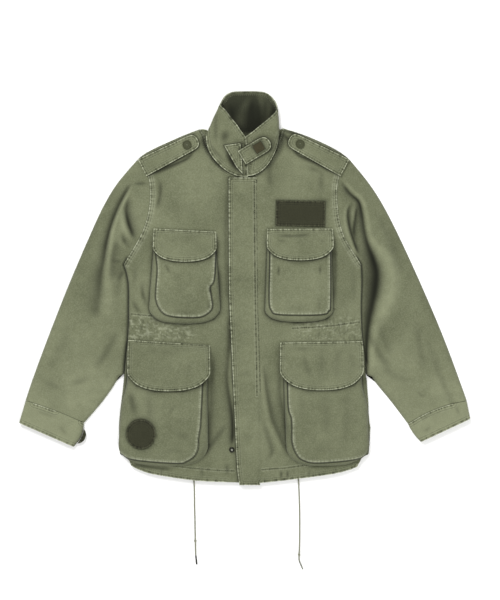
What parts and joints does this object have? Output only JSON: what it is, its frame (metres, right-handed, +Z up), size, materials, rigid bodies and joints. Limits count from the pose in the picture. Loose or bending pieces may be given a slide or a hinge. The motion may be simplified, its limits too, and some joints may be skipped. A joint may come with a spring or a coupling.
{
  "type": "field jacket",
  "caption": "Olive cotton field jacket laid flat on its back, fastened, with a tall stand collar, bellows pockets, epaulettes and hem drawcords.",
  "frame": {"origin": "on the underside of the back panel, on the jacket's centre line at waist height, a little above the lower pockets", "axes": "+Z up off the surface the jacket lies on, +Y towards the collar, +X towards the wearer's left sleeve"},
  "size_m": [1.0084, 1.0699, 0.0346],
  "materials": {
    "cotton": "garment-washed cotton, matt",
    "dark_cloth": "dark woven cloth, matt",
    "button": "moulded, satin",
    "dark_metal": "blackened, satin",
    "grey_metal": "worn, satin",
    "cord": "braided, matt"
  },
  "bodies": {
    "root": {"front_right": "cotton", "front_left": "cotton", "back": "cotton", "sleeve_right_upper": "cotton", "sleeve_right_under": "cotton", "sleeve_left_upper": "cotton", "sleeve_left_under": "cotton", "cuff_right": "cotton", "cuff_left": "cotton", "cuff_tab": "dark_cloth", "placket": "cotton", "pouch_chest_right": "cotton", "pouch_chest_left": "cotton", "pouch_lower_right": "cotton", "pouch_lower_left": "cotton", "flap_chest_right": "cotton", "flap_chest_left": "cotton", "flap_lower_right": "cotton", "flap_lower_left": "cotton", "collar": "cotton", "collar_end": "cotton", "throat_tab": "cotton", "throat_patch": "dark_cloth", "epaulette_right": "cotton", "epaulette_left": "cotton", "button_right": "button", "button_left": "button", "patch_rectangle": "dark_cloth", "patch_round": "dark_cloth", "snap_stud": "dark_metal", "cord_right": "cord", "cord_left": "cord", "knot_right": "cord", "knot_left": "cord", "aglet_right": "dark_metal", "aglet_left": "grey_metal"}
  },
  "joints": []
}
